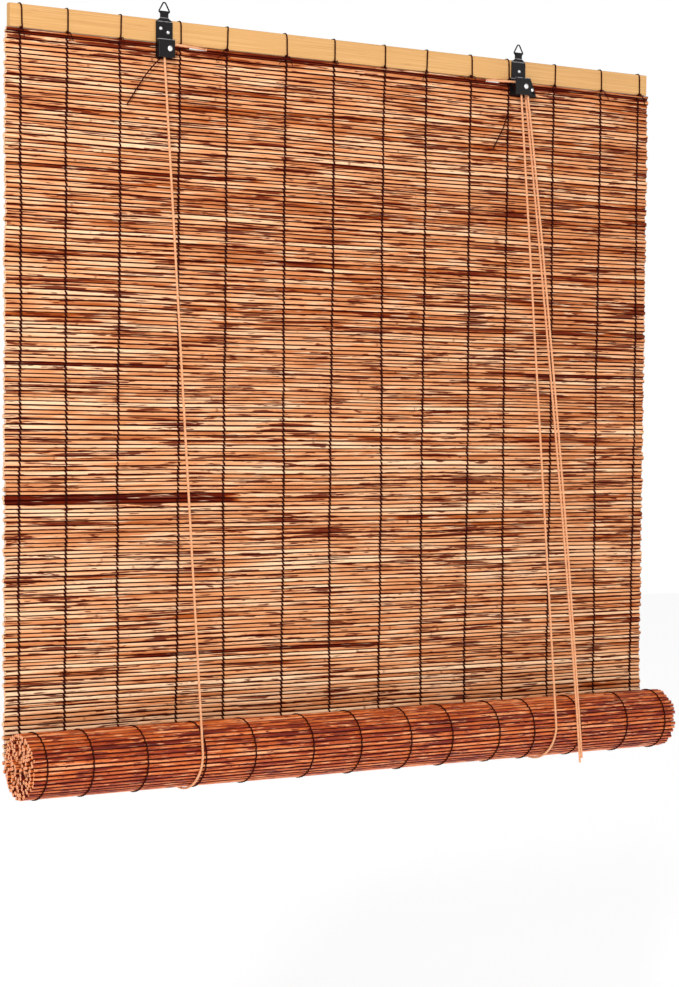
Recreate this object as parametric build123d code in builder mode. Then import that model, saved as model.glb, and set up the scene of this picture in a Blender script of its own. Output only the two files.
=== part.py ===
"""Reed roll up blind, 1 m wide, half lowered, hung from two steel brackets.

The origin is the hanging point inside the apex of the left ring.
+X runs along the head batten, +Y points to the window, +Z up. Millimetres.
"""

import os
from math import acos, asin, atan2, cos, hypot, pi, radians, sin, tan

from build123d import *

# the blind
BATTEN_LENGTH = 1000.0
REED_LENGTH = 1008.0
CENTRE_X = 289.0  # middle of the blind, from the left hanging point
BATTEN_TOP = -20.2
BATTEN_HEIGHT = 28.0
BATTEN_DEPTH = 8.0
BATTEN_FRONT = 1.0
MAT_Y = 5.0  # middle plane of the batten and of the hanging reeds
REED_RADIUS = 2.3
REED_COUNT = 170  # reeds between the batten and the roll
FIRST_REED = -54.3
HEADING_RADIUS = 1.25
HEADING_Z = -50.65
WARP_OFFSETS = (-485, -423, -350, -265, -197, -108, -34, 46, 114, 189, 252, 333, 416, 486)
WARP_WIDTH = 1.3
WARP_RADIUS = 0.6

# the roll
ROLL_Z = -928.0
TURN_RADIUS = 38.3  # outermost turn, at the middle of its reeds
TURN_STEP = 6.0  # how much nearer the axis the turn below lies
STEP_START = radians(250)  # where the outermost turn begins to sink to the one below
ROLL_Y = MAT_Y - TURN_RADIUS
ROLL_REEDS = 46  # reeds in the outermost turn
CORE_HEIGHT = 24.0
CORE_DEPTH = 5.0

# brackets of folded sheet
SHEET = 1.0
FOLD_RADIUS = 1.8
STRAP_HALF = 11.5
NECK_HALF = 5.5
NECK_FOOT = -18.0
SHOULDER = -22.5
STRAP_FOOT = -44.0
BAR_Z = -11.3
BAR_RADIUS = 0.9
LOOP_RADIUS = 1.0
RIGHT_X = 557.0  # middle of the right strap
AXLE_Z = -55.7
LEFT_AXLE = 4.5
RIGHT_AXLE = 561.8
AXLE_RADIUS = 1.5
WEB_SLOPE = 23.5  # lean of the lock's web from upright, degrees

# cords and pulleys
CORD_RADIUS = 1.5
WRAP_RADIUS = 6.1
WHEEL_RADIUS = 7.0
WHEEL_WIDTH = 4.6
GROOVE_RADIUS = 1.8
WHEEL_Y = -3.5
FRONT_WHEEL_Y = -8.5
LEG_TOP = -62.0
TAIL_TOP = -72.0
REAR_LEG_TOP = -46.0
CORD_HOLE_Z = -42.0
BIGHT_RADIUS = 42.5
CORD_GAP = 0.2  # between a leg and the bight, which move apart
RIGHT_REAR_X = 562.0
LEFT_REAR_X = 6.0
LEFT_FOOT_X = 16.0
RIGHT_FOOT_X = 576.0

BATTEN_FOOT = BATTEN_TOP - BATTEN_HEIGHT
BATTEN_BACK = BATTEN_FRONT + BATTEN_DEPTH
WARP_X = [CENTRE_X + offset for offset in WARP_OFFSETS]
REED_PITCH = (FIRST_REED - ROLL_Z) / REED_COUNT
LAST_REED = FIRST_REED - (REED_COUNT - 1) * REED_PITCH

os.makedirs("parts", exist_ok=True)


def save(solid, name):
    """Label a finished piece and write it as one node."""
    solid.label = name
    export_step(solid, f"parts/{name}.step")


# ------------------------------------------------------------------ head batten
# A planed slat, drilled for the bracket screws and for the knotted cord ends.

SCREWS = {"left": [(-5.5, -31.2), (5.0, -35.5)], "right": [(RIGHT_X + 0.8, -35.0)]}
SCREW_RADIUS = 1.2
SCREW_DEPTH = 7.0
CORD_HOLE_RADIUS = 2.1
KNOT_HOLE_RADIUS = 2.9
KNOT_HOLE_DEPTH = 5.4

with BuildPart() as batten:
    with BuildSketch(Plane.YZ.offset(CENTRE_X)) as section:
        with Locations((MAT_Y, BATTEN_TOP - BATTEN_HEIGHT / 2)):
            RectangleRounded(BATTEN_DEPTH, BATTEN_HEIGHT, 1.2)
    extrude(amount=BATTEN_LENGTH / 2, both=True)
    with BuildSketch(Plane.XZ.offset(-BATTEN_FRONT)) as pilot_holes:
        with Locations(SCREWS["left"] + SCREWS["right"]):
            Circle(SCREW_RADIUS)
    extrude(amount=-SCREW_DEPTH, mode=Mode.SUBTRACT)
    with BuildSketch(Plane.XZ.offset(-BATTEN_FRONT)) as cord_holes:
        with Locations((LEFT_REAR_X, CORD_HOLE_Z), (RIGHT_REAR_X, CORD_HOLE_Z)):
            Circle(CORD_HOLE_RADIUS)
    extrude(amount=-BATTEN_DEPTH, mode=Mode.SUBTRACT)
    with BuildSketch(Plane.XZ.offset(-BATTEN_FRONT)) as knot_holes:
        with Locations((LEFT_REAR_X, CORD_HOLE_Z), (RIGHT_REAR_X, CORD_HOLE_Z)):
            Circle(KNOT_HOLE_RADIUS)
    extrude(amount=-KNOT_HOLE_DEPTH, mode=Mode.SUBTRACT)
save(batten.part, "head_batten")

# --------------------------------------------------------------- batten bindings
# Each warp thread is tied once round the batten before it takes the reeds.

BINDING = 1.0
BINDING_GAP = 0.05

with BuildPart() as binding:
    with BuildSketch(Plane.YZ.offset(-WARP_WIDTH / 2)) as ring_form:
        with Locations((MAT_Y, BATTEN_TOP - BATTEN_HEIGHT / 2)):
            RectangleRounded(
                BATTEN_DEPTH + 2 * BINDING, BATTEN_HEIGHT + 2 * BINDING, 2.0
            )
            RectangleRounded(
                BATTEN_DEPTH + 2 * BINDING_GAP,
                BATTEN_HEIGHT + 2 * BINDING_GAP,
                1.2,
                mode=Mode.SUBTRACT,
            )
    extrude(amount=WARP_WIDTH)

with BuildPart() as bindings:
    with Locations([(x, 0, 0) for x in WARP_X]):
        add(binding.part)
save(bindings.part, "batten_bindings")

# ----------------------------------------------------------------- hanging reeds
# Separate canes, one under another, from the batten down to the roll.

with BuildPart() as reeds:
    with Locations(
        [(CENTRE_X, MAT_Y, FIRST_REED - k * REED_PITCH) for k in range(REED_COUNT)]
    ):
        Cylinder(REED_RADIUS, REED_LENGTH, rotation=(0, 90, 0))
save(reeds.part, "hanging_reeds")

# ------------------------------------------------------------------ heading reed
# A thin cane bound close under the batten, cut away where the lift cord passes
# through the mat beside each bracket.

HEADING_LENGTHS = [
    (CENTRE_X - REED_LENGTH / 2, WARP_X[3] + 1.5),
    (WARP_X[4] - 1.5, WARP_X[9] + 1.5),
    (WARP_X[10] - 1.5, CENTRE_X + REED_LENGTH / 2),
]

with BuildPart() as heading:
    for start, end in HEADING_LENGTHS:
        with Locations(((start + end) / 2, MAT_Y, HEADING_Z)):
            Cylinder(HEADING_RADIUS, end - start, rotation=(0, 90, 0))
save(heading.part, "heading_reed")

# ------------------------------------------------------------------ hanging warps
# A warp passes before and behind every reed and crosses between them.

WARP_CLEARANCE = 0.1
WARP_TOP = BATTEN_FOOT - BINDING - 0.02
WARP_FOOT = LAST_REED - 0.8 * REED_RADIUS
WARP_HALF = REED_RADIUS + WARP_CLEARANCE + WARP_RADIUS
HEADING_HALF = HEADING_RADIUS + WARP_CLEARANCE + WARP_RADIUS

with BuildPart() as warp:
    with BuildSketch(Plane.YZ.offset(-WARP_WIDTH / 2)) as twined:
        with Locations((MAT_Y, (FIRST_REED + REED_PITCH / 2 + WARP_FOOT) / 2)):
            Rectangle(2 * WARP_HALF, FIRST_REED + REED_PITCH / 2 - WARP_FOOT)
        with Locations((MAT_Y, (WARP_TOP + FIRST_REED) / 2)):
            Rectangle(2 * HEADING_HALF, WARP_TOP - FIRST_REED)
        with Locations((MAT_Y, HEADING_Z)):
            Circle(HEADING_RADIUS + WARP_CLEARANCE, mode=Mode.SUBTRACT)
        with Locations(
            [(MAT_Y, FIRST_REED - k * REED_PITCH) for k in range(REED_COUNT)]
        ):
            Circle(REED_RADIUS + WARP_CLEARANCE, mode=Mode.SUBTRACT)
    extrude(amount=WARP_WIDTH)

with BuildPart() as warps:
    with Locations([(x, 0, 0) for x in WARP_X]):
        add(warp.part)
save(warps.part, "hanging_warps")

# -------------------------------------------------------------------------- roll
# The wound lower part of the mat. Its outermost turn starts at the back, where
# the hanging reeds come down, and goes under, up the front and over the top.


def turn_radius(angle):
    """Distance from the roll's axis to the middle of the reeds, after this much turn."""
    sunk = max(0.0, angle - STEP_START) / (2 * pi - STEP_START)
    return TURN_RADIUS - TURN_STEP * sunk


def round_roll(radius, angle):
    """Point of the roll's end view: angle runs from the back, under, to the front."""
    return (ROLL_Y + radius * cos(angle), ROLL_Z - radius * sin(angle))


REED_ANGLE = 2 * pi / ROLL_REEDS

with BuildPart() as roll:
    with BuildSketch(Plane.YZ.offset(CENTRE_X)) as turns:
        with BuildLine() as outline:
            for reed in range(ROLL_REEDS):
                middle = reed * REED_ANGLE
                valley = turn_radius(middle) + REED_RADIUS / 2
                ThreePointArc(
                    round_roll(valley, middle - REED_ANGLE / 2),
                    round_roll(turn_radius(middle) + REED_RADIUS, middle),
                    round_roll(
                        turn_radius(middle + REED_ANGLE) + REED_RADIUS / 2,
                        middle + REED_ANGLE / 2,
                    ),
                )
            Line(outline.line @ 1, outline.line @ 0)
        make_face()
        with Locations((ROLL_Y, ROLL_Z)):
            Rectangle(CORE_DEPTH + 0.4, CORE_HEIGHT + 0.4, mode=Mode.SUBTRACT)
    extrude(amount=REED_LENGTH / 2, both=True)
save(roll.part, "reed_roll")

with BuildPart() as core:
    with Locations((CENTRE_X, ROLL_Y, ROLL_Z)):
        Box(BATTEN_LENGTH, CORE_DEPTH, CORE_HEIGHT)
    fillet(core.edges().filter_by(Axis.X), 1.0)
save(core.part, "bottom_batten")

THREAD_START = radians(14)
THREAD_END = radians(335)
THREAD_STEPS = 24
THREAD_LIFT = REED_RADIUS + 0.25

with BuildPart() as thread_turn:
    with BuildSketch(Plane.YZ.offset(-WARP_WIDTH / 2)) as thread_form:
        with BuildLine() as thread_edge:
            angles = [
                THREAD_START + (THREAD_END - THREAD_START) * k / THREAD_STEPS
                for k in range(THREAD_STEPS + 1)
            ]
            inner = [round_roll(turn_radius(a) + THREAD_LIFT, a) for a in angles]
            outer = [round_roll(turn_radius(a) + THREAD_LIFT + 0.8, a) for a in angles]
            Spline(*inner)
            Spline(*outer)
            Line(inner[0], outer[0])
            Line(inner[-1], outer[-1])
        make_face()
    extrude(amount=WARP_WIDTH)

with BuildPart() as roll_threads:
    with Locations([(x, 0, 0) for x in WARP_X]):
        add(thread_turn.part)
save(roll_threads.part, "roll_threads")

# ---------------------------------------------------------------- hanging rings
# Bent wire triangles whose ends meet in the strap's loop, round the level bar.

APEX_BEND = 2.4
CORNER_BEND = 1.5
CORNER_X = 8.4  # where the bar and a leaning side would cross
END_GAP = 0.1  # from the ring's middle to each end of its wire


def hanging_ring(centre_x):
    """Wire triangle whose apex hangs at z = 0."""
    bend_height = BAR_RADIUS - APEX_BEND - BAR_Z
    lean = atan2(bend_height, CORNER_X) + asin(APEX_BEND / hypot(bend_height, CORNER_X))
    corners = [
        (centre_x + END_GAP, 0, BAR_Z),
        (centre_x + CORNER_X, 0, BAR_Z),
        (centre_x, 0, BAR_Z + CORNER_X * tan(lean)),
        (centre_x - CORNER_X, 0, BAR_Z),
        (centre_x - END_GAP, 0, BAR_Z),
    ]
    with BuildPart() as ring:
        with BuildLine() as centreline:
            FilletPolyline(*corners, radius=[CORNER_BEND, APEX_BEND, CORNER_BEND])
        path = centreline.wires()[0]
        with BuildSketch(Plane(origin=path @ 0, z_dir=path % 0)):
            Circle(BAR_RADIUS)
        sweep(path=path)
    return ring.part


save(hanging_ring(0), "left_ring")
save(hanging_ring(RIGHT_X), "right_ring")

# -------------------------------------------------------------------- brackets
# Strap: one folded strip. It loops round the ring's bar, both layers lie on the
# batten, and the rear layer goes on down as the back cheek of the pulley box.

LEFT_BOX_FOOT = -67.0
RIGHT_BOX_FOOT = -69.0
RIGHT_BOX_EDGE = RIGHT_X + 12.4  # right edge of the lock's box at its top


def web_x(z):
    """Outer face of the lock's leaning web, at height z."""
    return RIGHT_BOX_EDGE + (STRAP_FOOT - z) * tan(radians(WEB_SLOPE))


LEFT_BOX = [
    (-STRAP_HALF, STRAP_FOOT - 0.2),
    (-STRAP_HALF, LEFT_BOX_FOOT),
    (STRAP_HALF, LEFT_BOX_FOOT),
    (STRAP_HALF, STRAP_FOOT - 0.2),
]
RIGHT_BOX = [
    (RIGHT_X - STRAP_HALF - 2.0, STRAP_FOOT - 0.2),
    (RIGHT_X - STRAP_HALF - 2.0, RIGHT_BOX_FOOT + 1.5),
    (RIGHT_X + 8.0, RIGHT_BOX_FOOT + 1.5),
    (RIGHT_X + 13.0, RIGHT_BOX_FOOT),
    (web_x(RIGHT_BOX_FOOT), RIGHT_BOX_FOOT),
    (web_x(STRAP_FOOT - 0.2), STRAP_FOOT - 0.2),
]

PIN_RADIUS = 1.4
SLOT_RADIUS = 1.45
PIN_X = 572.0
PIN_Z = -60.0
PIN_TRAVEL = 5.0
SLOPE_X = sin(radians(WEB_SLOPE))
SLOPE_Z = -cos(radians(WEB_SLOPE))


def strap_outline(centre_x, box):
    """Front view of the strap with its cheek: neck, shoulders, body, cheek."""
    right = centre_x + STRAP_HALF
    left = centre_x - STRAP_HALF
    return [
        (centre_x - NECK_HALF, BAR_Z + 3),
        (centre_x - NECK_HALF, NECK_FOOT),
        (left, SHOULDER),
        (left, STRAP_FOOT),
        *box,
        (right, STRAP_FOOT),
        (right, SHOULDER),
        (centre_x + NECK_HALF, NECK_FOOT),
        (centre_x + NECK_HALF, BAR_Z + 3),
    ]


def hanger_strap(centre_x, box, axle_x, screws, lock):
    """Folded strip with its ring loop, screw holes, axle hole and lock slot."""
    foot = min(z for _, z in box)
    with BuildPart() as strap:
        with BuildSketch(Plane.YZ.offset(centre_x)) as layers:
            with Locations((0, BAR_Z)):
                Circle(LOOP_RADIUS + SHEET)
            with Locations((0, (BAR_Z + STRAP_FOOT) / 2)):
                Rectangle(2 * SHEET, BAR_Z - STRAP_FOOT)
            with Locations((SHEET / 2, (BAR_Z + foot) / 2)):
                Rectangle(SHEET, BAR_Z - foot)
            with Locations((0, BAR_Z)):
                Circle(LOOP_RADIUS, mode=Mode.SUBTRACT)
            with Locations((0, (BAR_Z + STRAP_FOOT) / 2)):
                Rectangle(0.1, BAR_Z - STRAP_FOOT, mode=Mode.SUBTRACT)
        extrude(amount=3 * STRAP_HALF, both=True)
        with BuildSketch(Plane.XZ) as outline:
            with BuildLine():
                Polyline(*strap_outline(centre_x, box), close=True)
            make_face()
        extrude(amount=20, both=True, mode=Mode.INTERSECT)
        with BuildSketch(Plane.XZ.offset(-BATTEN_FRONT)) as holes:
            with Locations(screws):
                Circle(SCREW_RADIUS)
            with Locations((axle_x, AXLE_Z)):
                Circle(AXLE_RADIUS)
            if lock:
                add(lock_slot())
        extrude(amount=5, mode=Mode.SUBTRACT)
    return strap.part


def lock_slot():
    """Slanted slot that the lock pin slides in, parallel to the web."""
    start = (PIN_X, PIN_Z)
    end = (PIN_X + PIN_TRAVEL * SLOPE_X, PIN_Z + PIN_TRAVEL * SLOPE_Z)
    with BuildSketch(mode=Mode.PRIVATE) as slot:
        with Locations(start, end):
            Circle(SLOT_RADIUS)
        make_hull()
    return slot.sketch


save(
    hanger_strap(0, LEFT_BOX, LEFT_AXLE, SCREWS["left"], lock=False),
    "left_hanger_strap",
)
save(
    hanger_strap(RIGHT_X, RIGHT_BOX, RIGHT_AXLE, SCREWS["right"], lock=True),
    "right_hanger_strap",
)

LEFT_BOX_DEPTH = 6.4
RIGHT_BOX_DEPTH = 11.4


def folded_box(box, pocket, depth, fold, from_right, axle_x, lock):
    """Front cheek, web and back flange folded from one sheet, open on one side."""
    with BuildPart() as shell:
        with BuildSketch(Plane.XZ) as cheek:
            with BuildLine():
                Polyline(*box, close=True)
            make_face()
        extrude(amount=depth)
        with BuildSketch(Plane.XZ.offset(SHEET)) as space:
            with BuildLine():
                Polyline(*pocket, close=True)
            make_face()
        extrude(amount=depth - 2 * SHEET, mode=Mode.SUBTRACT)
        folds = shell.edges().filter_by(fold).sort_by(Axis.X, reverse=from_right)
        fillet(folds[2:4], FOLD_RADIUS - SHEET)
        folds = shell.edges().filter_by(fold).sort_by(Axis.X, reverse=from_right)
        fillet(folds[:2], FOLD_RADIUS)
        with BuildSketch(Plane.XZ) as holes:
            with Locations((axle_x, AXLE_Z)):
                Circle(AXLE_RADIUS)
            if lock:
                add(lock_slot())
        extrude(amount=depth, mode=Mode.SUBTRACT)
    return shell.part


CLEAR = 10.0  # how far a cutting form runs past the open sides
left_pocket = [
    (-STRAP_HALF + SHEET, STRAP_FOOT + CLEAR),
    (-STRAP_HALF + SHEET, LEFT_BOX_FOOT - CLEAR),
    (STRAP_HALF + CLEAR, LEFT_BOX_FOOT - CLEAR),
    (STRAP_HALF + CLEAR, STRAP_FOOT + CLEAR),
]
web_thickness = SHEET / cos(radians(WEB_SLOPE))
right_pocket = [
    (RIGHT_X - STRAP_HALF - CLEAR, STRAP_FOOT + CLEAR),
    (RIGHT_X - STRAP_HALF - CLEAR, RIGHT_BOX_FOOT - CLEAR),
    (web_x(RIGHT_BOX_FOOT - CLEAR) - web_thickness, RIGHT_BOX_FOOT - CLEAR),
    (web_x(STRAP_FOOT + CLEAR) - web_thickness, STRAP_FOOT + CLEAR),
]
save(
    folded_box(LEFT_BOX, left_pocket, LEFT_BOX_DEPTH + SHEET, Axis.Z, False, LEFT_AXLE, False),
    "left_pulley_housing",
)
web_line = Axis((0, 0, 0), (SLOPE_X, 0, SLOPE_Z))
save(
    folded_box(RIGHT_BOX, right_pocket, RIGHT_BOX_DEPTH + SHEET, web_line, True, RIGHT_AXLE, True),
    "right_lock_housing",
)

# ------------------------------------------------------------- rivets and screws
# Nickel rivets hold each box to its strap and carry the pulleys.

HEAD_RADIUS = 3.5
HEAD_RISE = 1.8
BACK_HEAD = 0.8


def rivet(shank_radius, head_radius, head_rise, front, back, back_head):
    """Turned about Y at x = 0: domed head in front, shank, flat head behind."""
    with BuildPart() as turned:
        with BuildSketch(Plane.XY) as half:
            with BuildLine():
                ThreePointArc(
                    (0, front - head_rise),
                    (head_radius * 0.62, front - head_rise * 0.72),
                    (head_radius, front),
                )
                Polyline(
                    (head_radius, front),
                    (shank_radius, front),
                    (shank_radius, back),
                    (head_radius * 0.8, back),
                    (head_radius * 0.8, back + back_head),
                    (0, back + back_head),
                    (0, front - head_rise),
                )
            make_face()
        revolve(axis=Axis.Y)
    return turned.part


def placed(solid, x, z):
    """The same piece, moved to x and z."""
    return Pos(x, 0, z) * solid


left_front = -LEFT_BOX_DEPTH - SHEET
right_front = -RIGHT_BOX_DEPTH - SHEET
left_rivet = rivet(AXLE_RADIUS, HEAD_RADIUS, HEAD_RISE, left_front, SHEET, BACK_HEAD)
right_rivet = rivet(AXLE_RADIUS, HEAD_RADIUS, HEAD_RISE, right_front, SHEET, BACK_HEAD)
save(placed(left_rivet, LEFT_AXLE, AXLE_Z), "left_axle_rivet")
save(placed(right_rivet, RIGHT_AXLE, AXLE_Z), "right_axle_rivet")


def bracket_screw():
    """Round-headed screw through both layers of the strap into the batten."""
    with BuildPart() as screw:
        with BuildSketch(Plane.XY) as half:
            with BuildLine():
                Line((0, -SHEET - 1.2), (0.8, -SHEET - 1.2))
                ThreePointArc((0.8, -SHEET - 1.2), (1.9, -SHEET - 0.7), (2.2, -SHEET))
                Polyline(
                    (2.2, -SHEET),
                    (SCREW_RADIUS, -SHEET),
                    (SCREW_RADIUS, BATTEN_FRONT + 5.0),
                    (0, BATTEN_FRONT + SCREW_DEPTH),
                    (0, -SHEET - 1.2),
                )
            make_face()
        revolve(axis=Axis.Y)
    return screw.part


for side, places in SCREWS.items():
    with BuildPart() as side_screws:
        with Locations([(x, 0, z) for x, z in places]):
            add(bracket_screw())
    save(side_screws.part, f"{side}_batten_screws")

# ----------------------------------------------------------------------- pulleys
# Grooved wheels that turn freely on the rivets.

BORE_RADIUS = AXLE_RADIUS + 0.06


def pulley(axle_x, middle_y):
    """Grooved wheel about the axle, its groove a little wider than the cord."""
    with BuildPart() as wheel:
        with BuildSketch(Plane.XZ.offset(-middle_y)) as disc:
            with Locations((axle_x, AXLE_Z)):
                Circle(WHEEL_RADIUS)
                Circle(BORE_RADIUS, mode=Mode.SUBTRACT)
        extrude(amount=WHEEL_WIDTH / 2, both=True)
        with BuildSketch(Plane.XY.offset(AXLE_Z)) as groove:
            with Locations((axle_x + WRAP_RADIUS, middle_y)):
                Circle(GROOVE_RADIUS)
            with Locations((axle_x + WRAP_RADIUS + GROOVE_RADIUS, middle_y)):
                Rectangle(2 * GROOVE_RADIUS, 2 * GROOVE_RADIUS)
        revolve(axis=Axis((axle_x, 0, AXLE_Z), (0, 1, 0)), mode=Mode.SUBTRACT)
    return wheel.part


save(pulley(LEFT_AXLE, WHEEL_Y), "left_pulley")
save(pulley(RIGHT_AXLE, WHEEL_Y), "right_rear_pulley")
save(pulley(RIGHT_AXLE, FRONT_WHEEL_Y), "right_front_pulley")

# -------------------------------------------------------------------- cord lock
# A knurled roller on a pin whose ends run in the slanted slots. Up, it nips the
# cords; pulled down along the slots, it lets them run.

ROLLER_RADIUS = 2.5
PIN_HEAD = 2.2
PIN_GAP = 0.15

pin = rivet(PIN_RADIUS, PIN_HEAD, 1.0, right_front - PIN_GAP, SHEET + PIN_GAP, 0.5)
save(placed(pin, PIN_X, PIN_Z), "lock_pin")

KNURLS = 18
with BuildPart() as roller:
    with BuildSketch(Plane.XZ.offset(SHEET + 0.3)) as roller_form:
        with Locations((PIN_X, PIN_Z)):
            Circle(ROLLER_RADIUS)
            with PolarLocations(ROLLER_RADIUS, KNURLS):
                Circle(0.2, mode=Mode.SUBTRACT)
            Circle(PIN_RADIUS + 0.06, mode=Mode.SUBTRACT)
    extrude(amount=RIGHT_BOX_DEPTH - SHEET - 0.6)
save(roller.part, "lock_roller")

# ------------------------------------------------------------------------ cords
# Each lift cord starts at a knot in the batten, goes down behind the mat, under
# the roll, up the front, over its wheel and out through the lock.


def cord(points, radii=None):
    """Round cord along a route; its bends have the given radii."""
    with BuildPart() as tube:
        with BuildLine() as route:
            if radii:
                FilletPolyline(*points, radius=radii)
            else:
                Line(*points)
        path = route.wires()[0]
        with BuildSketch(Plane(origin=path @ 0, z_dir=path % 0)):
            Circle(CORD_RADIUS)
        sweep(path=path)
    share = tube.part.volume / (pi * CORD_RADIUS**2 * path.length)
    print(f"cord {path.length:.1f} mm, volume over section times length {share:.4f}")
    return tube.part


def easy_radii(points):
    """Bend radii: 0.45 of the shorter run over the tangent of half the turn."""
    radii = []
    for before, corner, after in zip(points, points[1:], points[2:]):
        incoming = Vector(*corner) - Vector(*before)
        outgoing = Vector(*after) - Vector(*corner)
        turn = radians(incoming.get_angle(outgoing))
        run = min(incoming.length, outgoing.length)
        radii.append(0.45 * run / tan(turn / 2))
    print("bend radii", [round(radius, 1) for radius in radii])
    return radii


def leg_foot_angle(top_y):
    """Angle above the front of the roll where a straight leg leaves the bight."""
    rise = LEG_TOP - ROLL_Z
    lean = ROLL_Y - top_y
    reach = hypot(rise, lean)
    return atan2(rise, lean) - acos(BIGHT_RADIUS / reach)


def bight_point(x, angle):
    """Point of the cord under the roll; angle runs from the back, under, to the front."""
    return (x, ROLL_Y + BIGHT_RADIUS * cos(angle), ROLL_Z - BIGHT_RADIUS * sin(angle))


def lift_cord(side, wheel_x, wheel_y, rear_x, foot_x):
    """Knotted end, rear leg, bight and front leg of one lift cord."""
    back_y = BATTEN_BACK + CORD_RADIUS + 0.2
    end_route = [
        (rear_x, back_y, REAR_LEG_TOP),
        (rear_x, back_y, CORD_HOLE_Z),
        (rear_x, BATTEN_FRONT + 2.4, CORD_HOLE_Z),
    ]
    with BuildPart() as knotted_end:
        add(cord(end_route, [2.5]))
        with Locations((rear_x, BATTEN_FRONT + 2.65, CORD_HOLE_Z)):
            Sphere(2.5)
    save(knotted_end.part, f"{side}_cord_knot")

    foot_angle = pi + leg_foot_angle(wheel_y)
    start = bight_point(rear_x, 0)
    middle = bight_point((rear_x + foot_x) / 2, foot_angle / 2)
    foot = bight_point(foot_x, foot_angle)
    above_start = (start[0], start[1], start[2] + CORD_GAP)
    above_foot = (foot[0], foot[1], foot[2] + CORD_GAP)
    save(cord([(rear_x, back_y, REAR_LEG_TOP), above_start]), f"{side}_cord_rear_leg")
    save(cord([above_foot, (wheel_x, wheel_y, LEG_TOP)]), f"{side}_cord_front_leg")

    with BuildPart() as bight:
        with BuildLine() as under:
            ThreePointArc(start, middle, foot)
        path = under.wires()[0]
        with BuildSketch(Plane(origin=path @ 0, z_dir=path % 0)):
            Circle(CORD_RADIUS)
        sweep(path=path)
    save(bight.part, f"{side}_cord_bight")


left_leg_x = LEFT_AXLE - WRAP_RADIUS
right_leg_x = RIGHT_AXLE - WRAP_RADIUS
tail_x = RIGHT_AXLE + WRAP_RADIUS
lift_cord("left", left_leg_x, WHEEL_Y, LEFT_REAR_X, LEFT_FOOT_X)
lift_cord("right", right_leg_x, FRONT_WHEEL_Y, RIGHT_REAR_X, RIGHT_FOOT_X)

# The left cord crosses behind the batten through the gap above the first reed.
WHEEL_TOP = AXLE_Z + WRAP_RADIUS
CORNER_RISE = 0.11  # keeps the bend on the wheel where the run leaves it sloping down
RUN_Z = -50.0
RUN_FRONT_Y = -2.9
RUN_Y = 12.2
head_route = [
    (left_leg_x, WHEEL_Y, LEG_TOP),
    (left_leg_x, WHEEL_Y, WHEEL_TOP + CORNER_RISE),
    (27.0, RUN_FRONT_Y, RUN_Z),
    (84.0, RUN_Y, RUN_Z),
    (482.0, RUN_Y, RUN_Z),
    (537.0, RUN_FRONT_Y, RUN_Z),
    (tail_x, WHEEL_Y, WHEEL_TOP + CORNER_RISE),
    (tail_x, WHEEL_Y, TAIL_TOP),
]
head_radii = easy_radii(head_route)
head_radii[0] = WRAP_RADIUS
head_radii[-1] = WRAP_RADIUS
save(cord(head_route, head_radii), "left_cord_head_run")

with BuildPart() as over_wheel:
    with BuildLine(Plane.XZ.offset(-FRONT_WHEEL_Y)) as over:
        Line((right_leg_x, LEG_TOP), (right_leg_x, AXLE_Z))
        ThreePointArc((right_leg_x, AXLE_Z), (RIGHT_AXLE, WHEEL_TOP), (tail_x, AXLE_Z))
        Line((tail_x, AXLE_Z), (tail_x, TAIL_TOP))
    path = over.wires()[0]
    with BuildSketch(Plane(origin=path @ 0, z_dir=path % 0)):
        Circle(CORD_RADIUS)
    sweep(path=path)
save(over_wheel.part, "right_cord_over_wheel")

# The pull tails hang from the lock and lie against the front of the roll.
TAIL_FRONT = ROLL_Y - BIGHT_RADIUS - 0.8
TAILS = {
    "rear_pull_tail": [
        (tail_x, WHEEL_Y, TAIL_TOP),
        (573.6, -7.5, -130.0),
        (599.0, -50.0, -600.0),
        (611.0, TAIL_FRONT, -915.0),
        (612.0, TAIL_FRONT + 0.5, -978.0),
    ],
    "front_pull_tail": [
        (tail_x, FRONT_WHEEL_Y, TAIL_TOP),
        (575.0, -12.5, -130.0),
        (606.0, -53.0, -600.0),
        (618.0, TAIL_FRONT, -915.0),
        (619.0, TAIL_FRONT + 0.5, -972.0),
    ],
}
for name, points in TAILS.items():
    save(cord(points, easy_radii(points)), name)
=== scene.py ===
"""Looks of the reed roll up blind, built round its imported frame. Metres."""

import bpy
import numpy as np
from mathutils import Matrix, Vector


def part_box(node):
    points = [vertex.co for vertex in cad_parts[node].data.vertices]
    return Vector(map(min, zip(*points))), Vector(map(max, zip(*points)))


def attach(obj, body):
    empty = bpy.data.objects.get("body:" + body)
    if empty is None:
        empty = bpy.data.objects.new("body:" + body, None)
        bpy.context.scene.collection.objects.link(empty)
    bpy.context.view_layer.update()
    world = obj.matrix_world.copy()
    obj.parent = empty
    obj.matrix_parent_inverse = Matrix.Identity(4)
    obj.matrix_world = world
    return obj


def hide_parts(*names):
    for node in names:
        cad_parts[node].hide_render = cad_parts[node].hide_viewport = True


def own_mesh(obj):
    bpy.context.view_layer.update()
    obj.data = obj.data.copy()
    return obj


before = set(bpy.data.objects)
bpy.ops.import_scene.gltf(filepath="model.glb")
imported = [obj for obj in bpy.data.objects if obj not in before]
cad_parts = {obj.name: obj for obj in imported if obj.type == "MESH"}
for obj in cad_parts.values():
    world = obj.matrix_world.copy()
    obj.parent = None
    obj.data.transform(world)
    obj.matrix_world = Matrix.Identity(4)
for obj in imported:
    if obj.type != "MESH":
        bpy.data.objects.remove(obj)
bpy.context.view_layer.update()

# ---------------------------------------------------------------- view and light
# The blind is seen from its left front, a little below the middle, in a plain
# pale studio. It hangs clear of the floor.

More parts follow.
